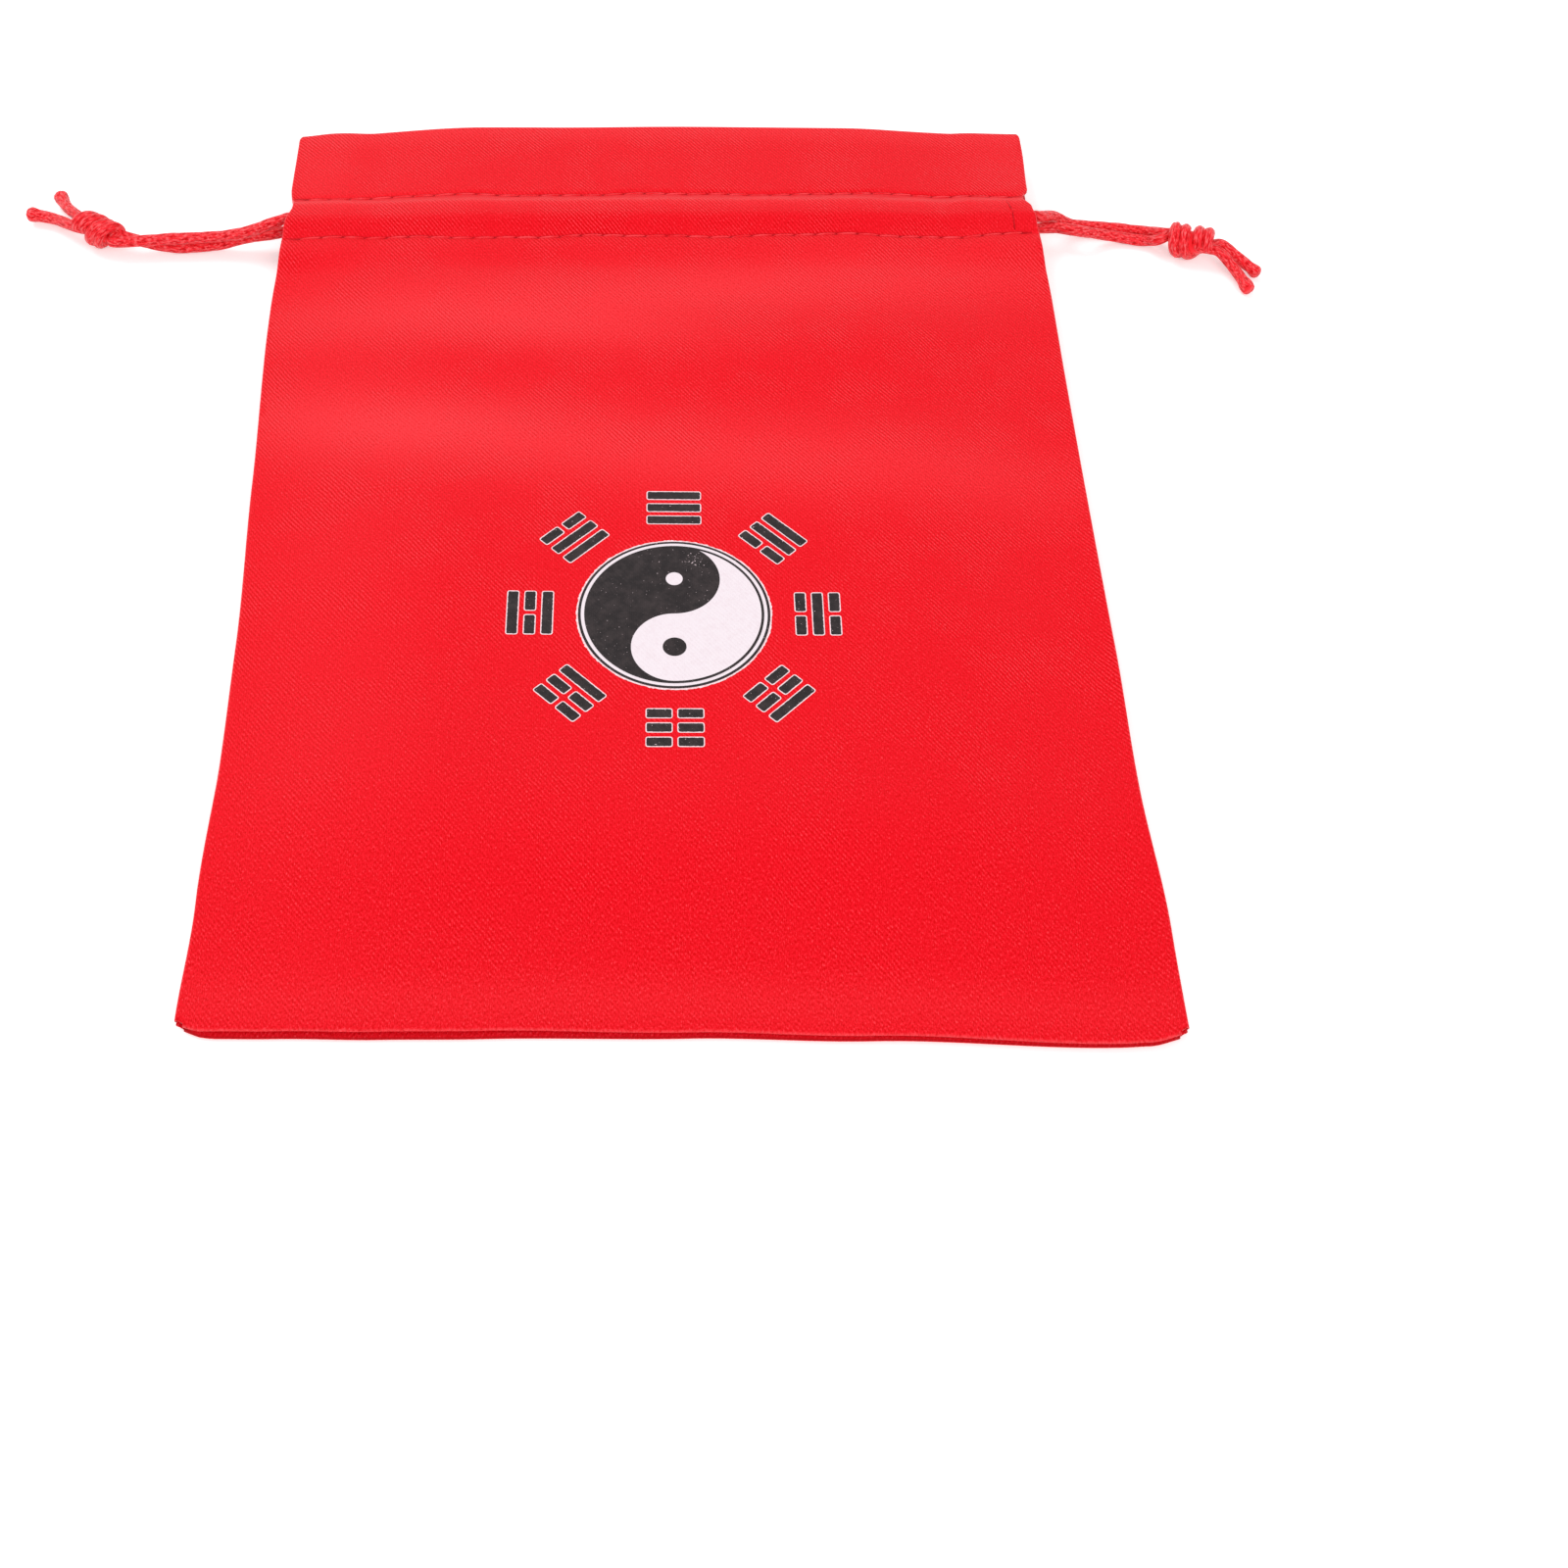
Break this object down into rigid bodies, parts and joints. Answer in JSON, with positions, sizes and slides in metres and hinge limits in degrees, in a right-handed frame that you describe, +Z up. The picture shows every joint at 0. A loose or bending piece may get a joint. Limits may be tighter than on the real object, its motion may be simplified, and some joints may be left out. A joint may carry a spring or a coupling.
{
  "type": "drawstring pouch",
  "caption": "Flat satin kinchaku drawstring pouch, lying closed on its back, with a stitched casing, a knotted cord at each side and a printed trigram emblem.",
  "frame": {"origin": "under the middle of the pouch without its free cords, on the surface that it lies on", "axes": "+X across the pouch, +Y from the bottom seam to the mouth, +Z up through the printed front"},
  "size_m": [0.2139, 0.18, 0.01],
  "materials": {
    "red_satin": "satin twill with a soft sheen",
    "red_cord": "glossy twisted satin cord",
    "ink_black": "transfer print film",
    "ink_white": "transfer print film"
  },
  "bodies": {
    "root": {"back_panel": "red_satin", "disc_dark_eye": "ink_black", "disc_dark_field": "ink_black", "disc_light_eye": "ink_white", "disc_light_lobe": "ink_white", "disc_outer_ring": "ink_black", "disc_white_ring": "ink_white", "front_panel": "red_satin", "left_drawcord": "red_cord", "left_knot": "red_cord", "left_tail_1": "red_cord", "left_tail_2": "red_cord", "right_drawcord": "red_cord", "right_knot": "red_cord", "right_tail_1": "red_cord", "right_tail_2": "red_cord", "trigram_bottom_bar_1a": "ink_black", "trigram_bottom_bar_1b": "ink_black", "trigram_bottom_bar_2a": "ink_black", "trigram_bottom_bar_2b": "ink_black", "trigram_bottom_bar_3a": "ink_black", "trigram_bottom_bar_3b": "ink_black", "trigram_left_bar_1": "ink_black", "trigram_left_bar_2a": "ink_black", "trigram_left_bar_2b": "ink_black", "trigram_left_bar_3": "ink_black", "trigram_lower_left_bar_1": "ink_black", "trigram_lower_left_bar_2a": "ink_black", "trigram_lower_left_bar_2b": "ink_black", "trigram_lower_left_bar_3a": "ink_black", "trigram_lower_left_bar_3b": "ink_black", "trigram_lower_right_bar_1a": "ink_black", "trigram_lower_right_bar_1b": "ink_black", "trigram_lower_right_bar_2a": "ink_black", "trigram_lower_right_bar_2b": "ink_black", "trigram_lower_right_bar_3": "ink_black", "trigram_right_bar_1a": "ink_black", "trigram_right_bar_1b": "ink_black", "trigram_right_bar_2": "ink_black", "trigram_right_bar_3a": "ink_black", "trigram_right_bar_3b": "ink_black", "trigram_top_bar_1": "ink_black", "trigram_top_bar_2": "ink_black", "trigram_top_bar_3": "ink_black", "trigram_upper_left_bar_1": "ink_black", "trigram_upper_left_bar_2": "ink_black", "trigram_upper_left_bar_3a": "ink_black", "trigram_upper_left_bar_3b": "ink_black", "trigram_upper_right_bar_1a": "ink_black", "trigram_upper_right_bar_1b": "ink_black", "trigram_upper_right_bar_2": "ink_black", "trigram_upper_right_bar_3": "ink_black"}
  },
  "joints": []
}
